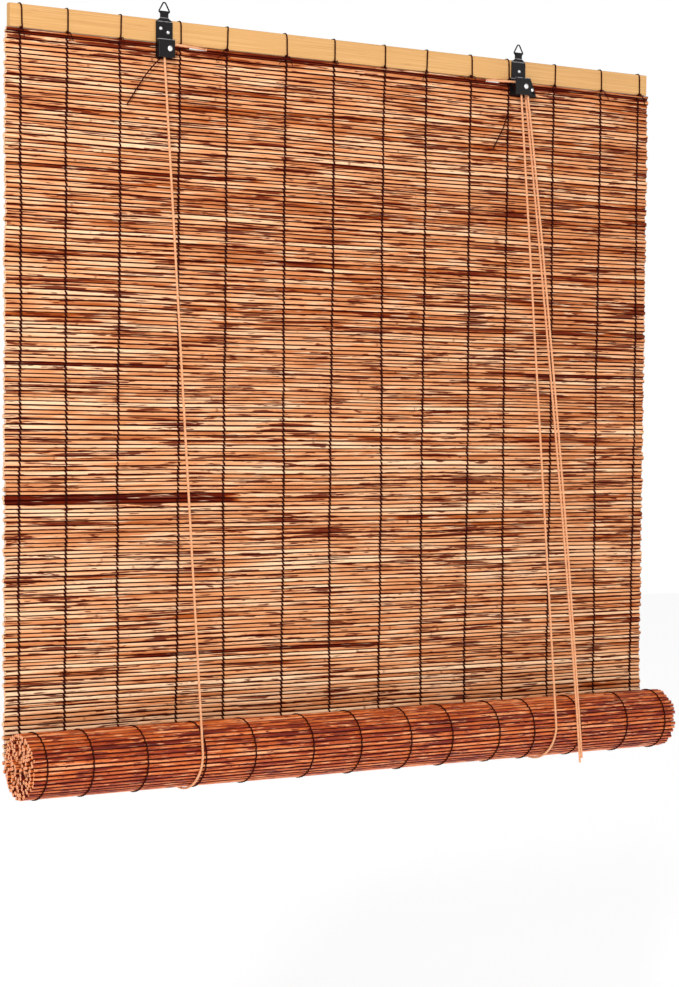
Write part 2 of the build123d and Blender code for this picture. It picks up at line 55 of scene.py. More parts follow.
HEADING, TILT, LEAN = np.radians([34.31, -2.70, 0.47])
CAMERA_PLACE = Vector((-1.5479, -2.6550, -0.5212))
BLIND_MIDDLE = Vector((0.289, 0.0, -0.5))
ROOM_LIGHT = 0.36
FLOOR_Z = -1.55
FLOOR_HALF = 9
FLOOR_GLOW = 0.62

ahead = Vector((
    np.sin(HEADING) * np.cos(TILT), np.cos(HEADING) * np.cos(TILT), np.sin(TILT)
))
level = Vector((np.cos(HEADING), -np.sin(HEADING), 0.0))
upward = level.cross(ahead)
right = np.cos(LEAN) * level + np.sin(LEAN) * upward
top = np.cos(LEAN) * upward - np.sin(LEAN) * level
camera = bpy.data.objects.new("camera", bpy.data.cameras.new("camera"))
camera.data.lens = 89.8
camera.data.sensor_width = 36.0
camera.data.shift_x = 0.003
camera.data.shift_y = 0.0509
facing = Matrix((right, top, -ahead)).transposed().to_4x4()
camera.matrix_world = Matrix.Translation(CAMERA_PLACE) @ facing
bpy.context.collection.objects.link(camera)
bpy.context.scene.camera = camera
bpy.context.scene.view_settings.view_transform = "Standard"


def area_light(name, place, size, power):
    """Soft square light at a place, aimed at the middle of the blind."""
    lamp = bpy.data.lights.new(name, "AREA")
    lamp.size = size
    lamp.energy = power
    holder = bpy.data.objects.new(name, lamp)
    aim = (BLIND_MIDDLE - Vector(place)).to_track_quat("-Z", "Y")
    holder.matrix_world = Matrix.Translation(place) @ aim.to_matrix().to_4x4()
    bpy.context.collection.objects.link(holder)


area_light("key", (-1.9, -2.3, 1.5), size=1.0, power=105.0)
area_light("fill", (2.2, -2.4, 0.2), size=2.0, power=14.0)

# The room lights the blind softly, but is plain white where the camera sees it.
world = bpy.data.worlds.new("studio")
world.use_nodes = True
room = world.node_tree
room.nodes["Background"].inputs["Color"].default_value = (1, 1, 1, 1)
light_path = room.nodes.new("ShaderNodeLightPath")
strength = room.nodes.new("ShaderNodeMath")
strength.operation = "MULTIPLY_ADD"
strength.inputs[1].default_value = 1.0 - ROOM_LIGHT
strength.inputs[2].default_value = ROOM_LIGHT
room.links.new(light_path.outputs["Is Camera Ray"], strength.inputs[0])
room.links.new(strength.outputs[0], room.nodes["Background"].inputs["Strength"])
bpy.context.scene.world = world


def new_finish(name, colour, roughness, metallic=0.0):
    """A material with one shader of that plain colour, roughness and metal share."""
    finish = bpy.data.materials.new(name)
    finish.use_nodes = True
    shader = finish.node_tree.nodes["Principled BSDF"]
    shader.inputs["Base Color"].default_value = (*colour, 1.0)
    shader.inputs["Roughness"].default_value = roughness
    shader.inputs["Metallic"].default_value = metallic
    return finish, finish.node_tree, shader


floor_mesh = bpy.data.meshes.new("floor")
floor_mesh.from_pydata(
    [
        (x * FLOOR_HALF, y * FLOOR_HALF, FLOOR_Z)
        for x, y in ((-1, -1), (1, -1), (1, 1), (-1, 1))
    ],
    [],
    [(0, 1, 2, 3)],
)
floor = bpy.data.objects.new("floor", floor_mesh)
bpy.context.collection.objects.link(floor)
pale_floor, _, floor_shader = new_finish("pale_floor", (0.9, 0.9, 0.9), 0.9)
floor_shader.inputs["Emission Color"].default_value = (1, 1, 1, 1)
floor_shader.inputs["Emission Strength"].default_value = FLOOR_GLOW
floor_mesh.materials.append(pale_floor)


# ------------------------------------------------------------------- head batten
# A planed bamboo slat, honey coloured, with long fine fibres along it. The warp
# threads are tied round it and the brackets are screwed to its front.


def paint(red, green, blue):
    """Linear colour from the usual 0 to 255 values of a paint chart."""
    chart = np.array([red, green, blue]) / 255.0
    bright = ((chart + 0.055) / 1.055) ** 2.4
    return tuple(np.where(chart > 0.04045, bright, chart / 12.92))


def add_node(tree, kind, settings=None, links=None, values=None):
    """One shader node: its settings, linked sockets and plain values by name or place."""
    node = tree.nodes.new(kind)
    for key, value in (settings or {}).items():
        setattr(node, key, value)
    for key, value in (values or {}).items():
        node.inputs[key].default_value = value
    for key, socket in (links or {}).items():
        tree.links.new(socket, node.inputs[key])
    return node


def stretched(tree, source, scale):
    """The coordinates of a source socket, scaled along each axis."""
    return add_node(
        tree, "ShaderNodeMapping", {}, {"Vector": source}, {"Scale": scale}
    ).outputs["Vector"]


def noise(tree, vector, scale, detail=3.0, roughness=0.55):
    """Soft noise from 0 to 1 over the given coordinates."""
    node = add_node(
        tree,
        "ShaderNodeTexNoise",
        {},
        {"Vector": vector},
        {"Scale": scale, "Detail": detail, "Roughness": roughness},
    )
    return node.outputs["Fac"]


def ramp(tree, factor, stops):
    """Colour over a factor, from a list of (place, colour) stops."""
    node = add_node(tree, "ShaderNodeValToRGB", {}, {"Fac": factor})
    band = node.color_ramp
    while len(band.elements) < len(stops):
        band.elements.new(0.5)
    for element, (place, colour) in zip(band.elements, stops):
        element.position = place
        element.color = (*colour, 1.0)
    return node.outputs["Color"]


def mix(tree, factor, first, second, blend="MIX"):
    """Blend of two colours by a factor; a plain colour may stand for a socket."""
    node = add_node(tree, "ShaderNodeMix", {"data_type": "RGBA", "blend_type": blend})
    for place, value in ((0, factor), (6, first), (7, second)):
        if isinstance(value, bpy.types.NodeSocket):
            tree.links.new(value, node.inputs[place])
        elif place == 0:
            node.inputs[0].default_value = value
        else:
            node.inputs[place].default_value = (*value, 1.0)
    return node.outputs[2]


def calc(tree, operation, first, second=0.0):
    """One sum on one or two numbers or sockets."""
    node = add_node(tree, "ShaderNodeMath", {"operation": operation})
    for place, value in ((0, first), (1, second)):
        if isinstance(value, bpy.types.NodeSocket):
            tree.links.new(value, node.inputs[place])
        else:
            node.inputs[place].default_value = value
    return node.outputs[0]


def between(tree, value, low, high):
    """0 below low, 1 above high, smooth between them."""
    node = add_node(
        tree,
        "ShaderNodeMapRange",
        {"interpolation_type": "SMOOTHSTEP"},
        {"Value": value},
        {"From Min": low, "From Max": high},
    )
    return node.outputs["Result"]


def raise_by(tree, shader, height, distance):
    """Bump from a 0 to 1 socket, which stands for the given distance in metres."""
    bump = add_node(
        tree, "ShaderNodeBump", {}, {"Height": height}, {"Distance": distance, "Strength": 0.7}
    )
    tree.links.new(bump.outputs["Normal"], shader.inputs["Normal"])


def planed_bamboo(name, pale, honey, brown):
    """Pale honey fibres along X with a slow change of tone and a few darker lines."""
    finish, tree, shader = new_finish(name, honey, 0.48)
    place = add_node(tree, "ShaderNodeTexCoord").outputs["Object"]
    fibres = noise(tree, stretched(tree, place, (6, 900, 900)), 1.0, 5.0)
    tone = noise(tree, stretched(tree, place, (3, 20, 30)), 1.0, 2.0)
    flecks = noise(tree, stretched(tree, place, (25, 700, 700)), 1.0, 2.0)
    wood = ramp(tree, fibres, [
        (0.30, tuple(0.8 * part for part in honey)),
        (0.50, honey),
        (0.72, pale),
    ])
    wood = mix(tree, calc(tree, "MULTIPLY", tone, 0.3), wood, brown)
    dark = between(tree, flecks, 0.66, 0.76)
    wood = mix(tree, calc(tree, "MULTIPLY", dark, 0.45), wood, brown)
    tree.links.new(wood, shader.inputs["Base Color"])
    raise_by(tree, shader, fibres, 0.0002)
    return finish


def refinish(node, finish):
    """Give a CAD piece its finished material."""
    piece = bpy.data.objects[node]
    if not piece.material_slots:
        piece.data.materials.append(finish)
    for material_slot in piece.material_slots:
        material_slot.material = finish


refinish("head_batten", planed_bamboo(
    "planed_bamboo",
    pale=paint(228, 182, 120),
    honey=paint(216, 164, 98),
    brown=paint(160, 100, 52),
))
refinish("bottom_batten", planed_bamboo(
    "core_bamboo",
    pale=paint(206, 132, 78),
    honey=paint(176, 98, 50),
    brown=paint(104, 44, 18),
))


# ------------------------------------------------------------------ hanging reeds
# Whole dry reeds, each a little bent, tapered and knuckled, with dark bark left
# on them in streaks. They lie on one another, held by the warp threads.

CANE_SIDES = 8
KNUCKLES = 2
KNUCKLE_RINGS = np.array([-0.005, -0.0012, 0.0008, 0.004])
KNUCKLE_SHAPE = np.array([0, 1, 0.7, 0])
rng = np.random.default_rng(20)


def cane_stations(count, start, end, steps, offset):
    """X of each ring of each cane: even steps plus four close rings at each knuckle.
    Also how swollen each ring is, from 0 on plain cane to 1 on a thick knuckle."""
    share = np.linspace(0, 1, steps)
    ends = rng.uniform(-offset, offset, (count, 2))
    x0 = start + ends[:, :1]
    x1 = end + ends[:, 1:]
    plain = x0 + (x1 - x0) * share
    first = rng.uniform(0.06, 0.30, (count, 1))
    apart = np.arange(KNUCKLES) * rng.uniform(0.30, 0.55, (count, 1))
    knuckle = x0 + (x1 - x0) * (first + apart)
    close = (knuckle[:, :, None] + KNUCKLE_RINGS).reshape(count, -1)
    x = np.concatenate([plain, close], axis=1)
    worth = rng.uniform(0.1, 1.0, (count, KNUCKLES, 1)) * KNUCKLE_SHAPE
    swell = np.concatenate([np.zeros_like(plain), worth.reshape(count, -1)], axis=1)
    order = np.argsort(x, axis=1)
    return np.take_along_axis(x, order, 1), np.take_along_axis(swell, order, 1)


def wander(x, size, seeds):
    """Slow bend of each cane along x: two sine waves of its own length and phase."""
    lengths = 0.25 + 0.35 * seeds[:, :1]
    phase = 40 * seeds[:, :1]
    long_wave = np.sin(x / lengths * 6.28 + phase)
    short_wave = np.sin(x * 31 + 2 * phase)
    return size * (0.7 * long_wave + 0.3 * short_wave)


def cane_grid(x, middle, radius, outward, sideways):
    """Rings round each cane: middle plus radius times (cos a outward + sin a sideways)."""
    angle = 2 * np.pi * np.arange(CANE_SIDES) / CANE_SIDES
    spokes = (
        np.cos(angle)[:, None] * outward[:, None, None, :]
        + np.sin(angle)[:, None] * sideways[:, None, None, :]
    )
    grid = middle[:, :, None, :] + radius[:, :, None, None] * spokes
    grid[..., 0] = x[:, :, None]
    return grid


def tubes_mesh(name, grid, values, finish):
    """Mesh of closed tubes from grid[tube, ring, side]: side faces between rings and a
    fan of faces on each end. The UV runs in metres along and 0 to 1 round; each entry of
    values is one number per tube and ring; 'cut' is 1 on an end's rim and 2 at its middle."""
    tubes, rings, sides = grid.shape[:3]
    index = np.arange(tubes * rings * sides).reshape(tubes, rings, sides)
    after = np.roll(index, -1, axis=2)
    walls = np.stack([index[:, :-1], index[:, 1:], after[:, 1:], after[:, :-1]], -1)
    hubs = grid[:, [0, -1]].mean(axis=2).reshape(-1, 3)
    hub_index = index.size + np.arange(len(hubs)).reshape(tubes, 2, 1)
    points = np.concatenate([grid.reshape(-1, 3), hubs])
    across = np.cross(grid[:, 1, 1] - grid[:, 0, 1], grid[:, 0, 2] - grid[:, 0, 1])
    flipped = np.sum(across * (grid[:, 0, 1] - grid[:, 0].mean(axis=1)), axis=1) < 0
    walls[flipped] = walls[flipped][..., ::-1]
    rims = index[:, [0, -1]]
    fans = np.stack([
        rims, np.roll(rims, -1, axis=2), np.broadcast_to(hub_index, rims.shape)
    ], -1)
    fans[:, 1] = fans[:, 1][..., [1, 0, 2]]
    fans[flipped] = fans[flipped][..., [1, 0, 2]]
    faces = walls.reshape(-1, 4).tolist() + fans.reshape(-1, 3).tolist()
    mesh = bpy.data.meshes.new(name)
    mesh.from_pydata(points, [], faces)
    along = np.concatenate([
        np.zeros((tubes, 1)),
        np.cumsum(np.linalg.norm(np.diff(grid.mean(axis=2), axis=1), axis=2), axis=1),
    ], axis=1)
    u = np.repeat(along, sides, axis=1).reshape(tubes, rings, sides)
    u_next = np.roll(u, -1, axis=2)
    v = np.broadcast_to(np.arange(sides) / sides, u.shape)
    v_next = v + 1.0 / sides
    wall_u = np.stack([u[:, :-1], u[:, 1:], u_next[:, 1:], u_next[:, :-1]], -1)
    wall_v = np.stack([v[:, :-1], v[:, 1:], v_next[:, 1:], v_next[:, :-1]], -1)
    wall_uv = np.stack([wall_u, wall_v], -1)
    wall_uv[flipped] = wall_uv[flipped][..., ::-1, :]
    end_uv = np.zeros((fans.size, 2))
    uv = mesh.uv_layers.new(name="cane")
    uv.data.foreach_set("uv", np.concatenate([wall_uv.reshape(-1, 2), end_uv]).ravel())
    for key, value in values.items():
        full = np.broadcast_to(value, (tubes, rings))
        every = np.concatenate([
            np.repeat(full, sides, axis=1).reshape(-1), full[:, [0, -1]].reshape(-1)
        ])
        layer = mesh.attributes.new(key, "FLOAT", "POINT")
        layer.data.foreach_set("value", every.astype(np.float32))
    cut = np.concatenate([np.zeros(walls.size), np.tile([1.0, 1.0, 2.0], fans.size // 3)])
    layer = mesh.attributes.new("cut", "FLOAT", "CORNER")
    layer.data.foreach_set("value", cut.astype(np.float32))
    on_rim = np.zeros(len(points), dtype=bool)
    on_rim[rims] = True
    pairs = np.empty(2 * len(mesh.edges), dtype=np.int32)
    mesh.edges.foreach_get("vertices", pairs)
    sharp = on_rim[pairs.reshape(-1, 2)].all(axis=1)
    layer = mesh.attributes.new("sharp_edge", "BOOLEAN", "EDGE")
    layer.data.foreach_set("value", sharp)
    smooth = np.concatenate([np.ones(walls.size // 4), np.zeros(fans.size // 3)]).astype(bool)
    mesh.polygons.foreach_set("use_smooth", smooth)
    mesh.materials.append(finish)
    mesh.update()
    piece = bpy.data.objects.new(name, mesh)
    bpy.context.collection.objects.link(piece)
    return piece


def dry_reed(name, pale, ripe, bark, scar, darkest_and_shade, roughness, grain, shade_from, gloss):
    """Reed skin: each cane's own tone, long bark streaks, fine fibres, dark scars at the
    knuckles and painted shade where a cane lies against its neighbours. The darkest colour is
    both the darkest tone of a cane and the colour of that painted shade. A larger grain makes
    shorter streaks, and a larger threshold for the painted groove shade leaves less of the
    cane in it."""
    finish, tree, shader = new_finish(name, ripe, roughness)
    uv = add_node(tree, "ShaderNodeUVMap", {"uv_map": "cane"}).outputs["UV"]
    split = add_node(tree, "ShaderNodeSeparateXYZ", {}, {"Vector": uv})
    along = split.outputs["X"]
    seed, tone, swell, cut = (
        add_node(tree, "ShaderNodeAttribute", {"attribute_name": key}).outputs["Fac"]
        for key in ("seed", "tone", "swell", "cut")
    )

    def plus(first, second):
        """Sum of two numbers or sockets."""
        return calc(tree, "ADD", first, second)

    def times(first, second):
        """Product of two numbers or sockets."""
        return calc(tree, "MULTIPLY", first, second)

    round_angle = times(split.outputs["Y"], 2 * np.pi)
    side = calc(tree, "SINE", round_angle)
    front = calc(tree, "COSINE", round_angle)

    def skin(length_scale, round_scale, shift):
        """Coordinates on a cane's skin, without a seam, different on every cane."""
        places = {
            "X": plus(times(along, grain * length_scale), times(seed, 91.0 + shift)),
            "Y": times(side, round_scale),
            "Z": plus(times(front, round_scale), times(seed, 57.0)),
        }
        return add_node(tree, "ShaderNodeCombineXYZ", {}, places).outputs["Vector"]

    def laid_over(under, cover, amount, low, high, share):
        """A colour with a cover laid over it where the amount rises from low to high."""
        return mix(tree, times(between(tree, amount, low, high), share), under, cover)

    slow = noise(tree, skin(6.0, 0.3, 0.0), 1.0, 2.0)
    shade = plus(tone, times(calc(tree, "SUBTRACT", slow, 0.5), 1.5))
    colour = ramp(tree, shade, [
        (0.0, pale), (0.36, ripe), (0.70, bark), (0.88, scar), (1.0, darkest_and_shade)
    ])
    fibres = noise(tree, skin(14.0, 5.0, 3.0), 1.0, 4.0, 0.7)
    colour = laid_over(colour, bark, fibres, 0.52, 0.72, 0.8)
    peel = noise(tree, skin(17.0, 0.9, 11.0), 1.0, 2.0, 0.6)
    colour = laid_over(colour, pale, peel, 0.56, 0.66, 0.7)
    streak = noise(tree, skin(11.0, 0.7, 7.0), 1.0, 3.0, 0.6)
    edge = plus(streak, times(calc(tree, "SUBTRACT", tone, 0.5), 0.12))
    colour = laid_over(colour, scar, edge, 0.555, 0.585, 0.92)
    spot = noise(tree, skin(26.0, 0.9, 19.0), 1.0, 2.0, 0.6)
    colour = laid_over(colour, scar, spot, 0.615, 0.645, 0.9)
    colour = laid_over(colour, scar, swell, 0.2, 1.0, 0.6)

    # Painted shade in the grooves between canes, a little wider on one side, and the pale
    # pithy face of a cut end.
    on_end = calc(tree, "MINIMUM", cut, 1.0)
    aside = calc(tree, "ABSOLUTE", calc(tree, "SUBTRACT", side, 0.10))
    painted_groove_shade = times(
        between(tree, aside, shade_from, shade_from + 0.18), calc(tree, "SUBTRACT", 1.0, on_end)
    )
    colour = mix(tree, painted_groove_shade, colour, darkest_and_shade)
    place = add_node(tree, "ShaderNodeTexCoord").outputs["Object"]
    pith = noise(tree, stretched(tree, place, (900, 900, 900)), 1.0, 2.0)
    core = calc(tree, "SUBTRACT", plus(cut, times(pith, 0.3)), 1.15)
    face = ramp(tree, core, [
        (0.0, bark), (0.10, ripe), (0.24, pale), (0.62, pale), (0.78, ripe), (0.95, scar)
    ])
    colour = mix(tree, on_end, colour, face)
    tree.links.new(colour, shader.inputs["Base Color"])
    dull = plus(roughness, times(painted_groove_shade, 1.0 - roughness))
    tree.links.new(dull, shader.inputs["Roughness"])
    shader.inputs["Specular IOR Level"].default_value = gloss
    raise_by(tree, shader, plus(fibres, streak), 0.0003)
    return finish


mat_reed = dry_reed(
    "mat_reed",
    pale=paint(252, 210, 168),
    ripe=paint(232, 158, 106),
    bark=paint(172, 84, 32),
    scar=paint(100, 24, 2),
    # The darkest tone of a cane, and also the colour of the painted shade in the grooves
    # between canes.
    darkest_and_shade=paint(66, 3, 0),
    roughness=0.45,
    grain=1.0,
    shade_from=0.55,
    gloss=0.06,
)

reeds_low, reeds_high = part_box("hanging_reeds")
MAT_Y = (reeds_low[1] + reeds_high[1]) / 2
CANE_RADIUS = (reeds_high[1] - reeds_low[1]) / 2
CANES = 170
CANE_RINGS = 31
CANE_OVERLAP = 1.09
LEFT_END, RIGHT_END = reeds_low[0], reeds_high[0]
MIDDLE_X = (LEFT_END + RIGHT_END) / 2
HALF_LENGTH = 0.504
END_SPREAD = 0.0016

# A few canes are thin and dark, the top one painted in the darkest colour as painted shade:
# the shadowed gap under the heading reed. Two more, low in the mat, are dark at their left.
DARK_CANES = [0, 31, 77, 146]
DARK_PAIR = slice(108, 110)
PAIR_DARK_TO = 0.09
thickness = np.clip(rng.normal(1.0, 0.13, CANES), 0.70, 1.34)
thickness[DARK_CANES] = 0.62
thickness *= (reeds_high[2] - reeds_low[2]) / thickness.sum()
cane_z = reeds_high[2] - np.cumsum(thickness) + thickness / 2
cane_seed = rng.uniform(0, 1, (CANES, 1))
cane_x, cane_swell = cane_stations(CANES, LEFT_END, RIGHT_END, CANE_RINGS, END_SPREAD)
thick_end = np.sign(rng.uniform(-1, 1, (CANES, 1)))
taper = 1 + 0.04 * thick_end * (cane_x - MIDDLE_X) / HALF_LENGTH
cane_radius = CANE_OVERLAP * thickness[:, None] / 2 * taper * (1 + 0.10 * cane_swell)
cane_height = cane_z[:, None]
cane_sag = 0.0006 * np.sin(cane_x * 17 + cane_height * 9) * np.sin(cane_height * 31 + 1)
cane_middle = np.stack([
    cane_x,
    MAT_Y + wander(cane_x, 0.0004, cane_seed) + rng.uniform(-0.0003, 0.0003, (CANES, 1)),
    cane_height + cane_sag + wander(cane_x, 0.00012, 1 - cane_seed),
], axis=-1)
front_way = np.tile([0.0, -1.0, 0.0], (CANES, 1))
up_way = np.tile([0.0, 0.0, 1.0], (CANES, 1))
cane_tone = rng.normal(0.36, 0.10, (CANES, 1)) - 0.06 * np.linspace(-1, 1, CANES)[:, None]
cane_tone = cane_tone + 0.12 * (cane_x - MIDDLE_X)
dark_seed = cane_seed[DARK_CANES]
cane_tone[DARK_CANES] += 0.55 * (np.sin(cane_x[DARK_CANES] * 7 + 40 * dark_seed) > 0.25)
# Painted shade: the top cane in the darkest colour stands for the shadowed gap under the
# heading reed.
cane_tone[0] = 1.8
cane_tone[DARK_PAIR] += 0.9 * (cane_x[DARK_PAIR] < PAIR_DARK_TO)
reeds = tubes_mesh(
    "woven_reeds",
    cane_grid(cane_x, cane_middle, cane_radius, front_way, up_way),
    {"seed": cane_seed, "tone": cane_tone, "swell": cane_swell},
    mat_reed,
)
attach(reeds, "head")
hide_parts("hanging_reeds")


def shorten(piece):
    """Give a hanging piece its own copy of its mesh."""
    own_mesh(piece)


shorten(reeds)

# ------------------------------------------------------------------- heading reed
# The first, darkest cane, bound tight under the batten. It is cut away beside
# each bracket, where the lift cord passes through the mat.

heading_low, heading_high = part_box("heading_reed")
heading_z = (heading_low[2] + heading_high[2]) / 2
HEADING_RADIUS = 0.0019
LEFT_GAP = (0.0375, 0.0625)
RIGHT_GAP = (0.5028, 0.5270)
starts = np.array([[LEFT_END], [LEFT_GAP[1]], [RIGHT_GAP[1]]])
stops = np.array([[LEFT_GAP[0]], [RIGHT_GAP[0]], [RIGHT_END]])
heading_x = starts + (stops - starts) * np.linspace(0, 1, 24)
heading_radius = np.full(heading_x.shape, HEADING_RADIUS)
heading_seed = np.array([[0.31], [0.57], [0.83]])
heading_middle = np.stack([
    heading_x,
    MAT_Y - 0.0018 + wander(heading_x, 0.0003, heading_seed),
    heading_z - 0.0001 + wander(heading_x, 0.0002, heading_seed),
], axis=-1)
heading = tubes_mesh(
    "heading_cane",
    cane_grid(heading_x, heading_middle, heading_radius, front_way[:3], up_way[:3]),
    {"seed": heading_seed, "tone": np.full((3, 1), 0.75), "swell": np.full((3, 1), 0.3)},
    mat_reed,
)
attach(heading, "head")
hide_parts("heading_reed")

# -------------------------------------------------------------------- warp threads
# Two waxed strands to each warp, near black. One passes before a reed while the
# other passes behind it, and they cross in the gap below.

WARP_X = MIDDLE_X + np.array(
    [-485, -423, -350, -265, -197, -108, -34, 46, 114, 189, 252, 333, 416, 486]
) / 1000
STRAND_RADIUS = 0.00135
STRAND_SIDES = 5
STRAND_CLEAR = 0.0011
STRAND_SWING = 0.00115
STEPS_PER_REED = 3


def strand_grid(paths, radius, sides, reference):
    """Rings round each path: the radius times a circle square to the path's direction.
    The circle starts square to the reference direction, which no path runs along."""
    along = np.gradient(paths, axis=1)
    along /= np.linalg.norm(along, axis=2, keepdims=True)
    first = np.cross(along, np.array(reference))
    first /= np.maximum(np.linalg.norm(first, axis=2, keepdims=True), 1e-9)
    second = np.cross(along, first)
    angle = 2 * np.pi * np.arange(sides) / sides
    spokes = (
        np.cos(angle)[:, None] * first[:, :, None, :]
        + np.sin(angle)[:, None] * second[:, :, None, :]
    )
    thick = np.broadcast_to(radius, paths.shape[:2])
    return paths[:, :, None, :] + thick[:, :, None, None] * spokes


def waxed_thread():
    """Near black maroon thread, its fibres wound slantwise along it."""
    finish, tree, shader = new_finish("waxed_thread", paint(58, 9, 4), 0.8)
    shader.inputs["Specular IOR Level"].default_value = 0.08
    place = add_node(tree, "ShaderNodeTexCoord").outputs["Object"]
    fibres = noise(tree, stretched(tree, place, (2500, 2500, 1400)), 1.0, 3.0)
    colour = ramp(tree, fibres, [
        (0.30, paint(22, 2, 0)), (0.55, paint(54, 8, 3)), (0.80, paint(92, 24, 12))
    ])
    tree.links.new(colour, shader.inputs["Base Color"])
    raise_by(tree, shader, fibres, 0.0003)
    return finish


thread = waxed_thread()
steps = np.arange(CANES * STEPS_PER_REED + 1) / STEPS_PER_REED
edges = np.concatenate([[reeds_high[2]], reeds_high[2] - np.cumsum(thickness)])
strand_z = np.interp(steps, np.arange(CANES + 1), edges)
bulge = np.interp(steps, np.arange(CANES) + 0.5, thickness / 2) + STRAND_CLEAR


def warp_strands(columns):
    """Paths of both strands of some warps: y swings before and behind each reed as a
    cosine, x as a sine, half a turn a reed, the second strand opposite the first."""
    sign = np.tile([1.0, -1.0], len(columns))[:, None]
    x = np.repeat(columns, 2)[:, None]
    drift = 0.0009 * np.sin(strand_z * 9 + x * 40) + 0.0004 * np.sin(strand_z * 47 + x * 90)
    half = np.pi * (steps - 0.5)
    y = MAT_Y - sign * bulge * np.cos(half)
    return np.stack([
        x + drift + sign * STRAND_SWING * np.sin(half),
        y,
        np.broadcast_to(strand_z, y.shape),
    ], axis=-1)


for name, columns in (("left_warps", WARP_X[:7]), ("right_warps", WARP_X[7:])):
    paths = warp_strands(columns)
    warps = tubes_mesh(
        name, strand_grid(paths, STRAND_RADIUS, STRAND_SIDES, (1.0, 0.0, 0.0)), {}, thread
    )
    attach(warps, "head")
    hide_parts("hanging_warps")
    shorten(warps)

# ----------------------------------------------------------------- batten bindings
# Each warp starts with a turn round the batten, knotted at the batten's lower
# front edge, where the short ends of the knot stand out.

BINDING_RADIUS = 0.00095
BIND_STEPS = 56
BIND_POWER = 0.28
batten_low, batten_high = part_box("head_batten")
bind = 2 * np.pi * np.arange(BIND_STEPS + 1) / BIND_STEPS
bind_shape = (len(WARP_X), BIND_STEPS + 1)
half_deep = (batten_high[1] - batten_low[1]) / 2 + 0.0007
half_tall = (batten_high[2] - batten_low[2]) / 2 + 0.0006


def squarish(angle, half):
    """Rounded square wave: the sign of the cosine times a low power of its size."""
    return half * np.sign(np.cos(angle)) * np.abs(np.cos(angle)) ** BIND_POWER


lean = rng.uniform(-0.0016, 0.0016, (len(WARP_X), 1))
bind_paths = np.stack([
    WARP_X[:, None] + lean * np.sin(bind) + 0.0005 * np.cos(bind),
    np.broadcast_to(MAT_Y - squarish(bind, half_deep), bind_shape),
    np.broadcast_to(
        (batten_low[2] + batten_high[2]) / 2 + squarish(bind - np.pi / 2, half_tall),
        bind_shape,
    ),
], axis=-1)
bindings = tubes_mesh(
    "thread_bindings", strand_grid(bind_paths, BINDING_RADIUS, 6, (1.0, 0.0, 0.0)), {}, thread
)
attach(bindings, "head")
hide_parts("batten_bindings")

# The short ends of the knots, two to a knot, curl away from the batten.
KNOT_END_STEPS = 9
KNOT_END_RADIUS = 0.00080
share = np.linspace(0, 1, KNOT_END_STEPS)
ends = 2 * len(WARP_X)
aside = rng.uniform(-1, 1, (ends, 1))
reach = rng.uniform(0.007, 0.019, (ends, 1))
droop = rng.uniform(0.2, 1.0, (ends, 1))
curl = 0.001 * np.sin(share * 9 + 7 * aside)
end_paths = np.stack([
    np.repeat(WARP_X, 2)[:, None] + aside * reach * share,
    batten_low[1] - 0.0009 - 0.0018 * np.sin(share * 2.6) * np.ones((ends, 1)),
    batten_low[2] + 0.0006 - reach * droop * share ** 1.6 + curl,
], axis=-1)
thinning = KNOT_END_RADIUS * (1 - 0.4 * share)
knot_ends = tubes_mesh(
    "knot_ends", strand_grid(end_paths, thinning, 5, (0.0, 1.0, 0.0)), {}, thread
)
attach(knot_ends, "head")

# The knots themselves, a little over two turns of the thread each.
KNOT_TURNS = 2.2
KNOT_STEPS = 40
spin = np.linspace(0, 2 * np.pi * KNOT_TURNS, KNOT_STEPS)
knot_shape = (len(WARP_X), KNOT_STEPS)
knot_paths = np.stack([
    WARP_X[:, None] + 0.0014 * np.cos(spin),
    np.broadcast_to(batten_low[1] - 0.0007 + 0.0005 * np.sin(3 * spin), knot_shape),
    np.broadcast_to(batten_low[2] - 0.0003 + 0.0012 * np.sin(spin), knot_shape),
], axis=-1)
knots = tubes_mesh(
    "warp_knots", strand_grid(knot_paths, 0.0009, 5, (0.0, 1.0, 0.0)), {}, thread
)
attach(knots, "head")

# ---------------------------------------------------------------------------- roll
# The lower half of the mat, wound on the bottom batten. Its outer reeds are bare
# and riper in colour; at the ends the turns show as a jumble of cut reed ends.

roll_low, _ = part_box("reed_roll")
TURN_RADIUS = 0.0383
TURN_STEP = 0.0060
STEP_START = np.radians(250)
ROLL_REEDS = 46
ROLL_Y = MAT_Y - TURN_RADIUS
ROLL_Z = roll_low[2] + TURN_RADIUS + CANE_RADIUS


def turn_radius(angle):
    """Middle of the outermost reeds: level, then sinking by one step over the last part."""
    sunk = np.clip((angle - STEP_START) / (2 * np.pi - STEP_START), 0, 1)
    return TURN_RADIUS - TURN_STEP * sunk


def ring_ways(angle):
    """Outward and sideways directions on the roll; the angle runs from the back, under."""
    outward = np.stack([0 * angle, np.cos(angle), -np.sin(angle)], axis=1)
    sideways = np.stack([0 * angle, np.sin(angle), np.cos(angle)], axis=1)
    return outward, sideways


def roll_canes(angle, distance, x, radius):
    """Grid of canes along X, each at its angle and distance from the roll's axis."""
    seeds = rng.uniform(0, 1, (len(angle), 1))
    outward, sideways = ring_ways(angle)
    off = distance[:, None] + wander(x, 0.0003, seeds)
    middle = np.stack([
        x,
        ROLL_Y + outward[:, 1:2] * off,
        ROLL_Z + outward[:, 2:3] * off,
    ], axis=-1)
    return cane_grid(x, middle, radius, outward, sideways), seeds


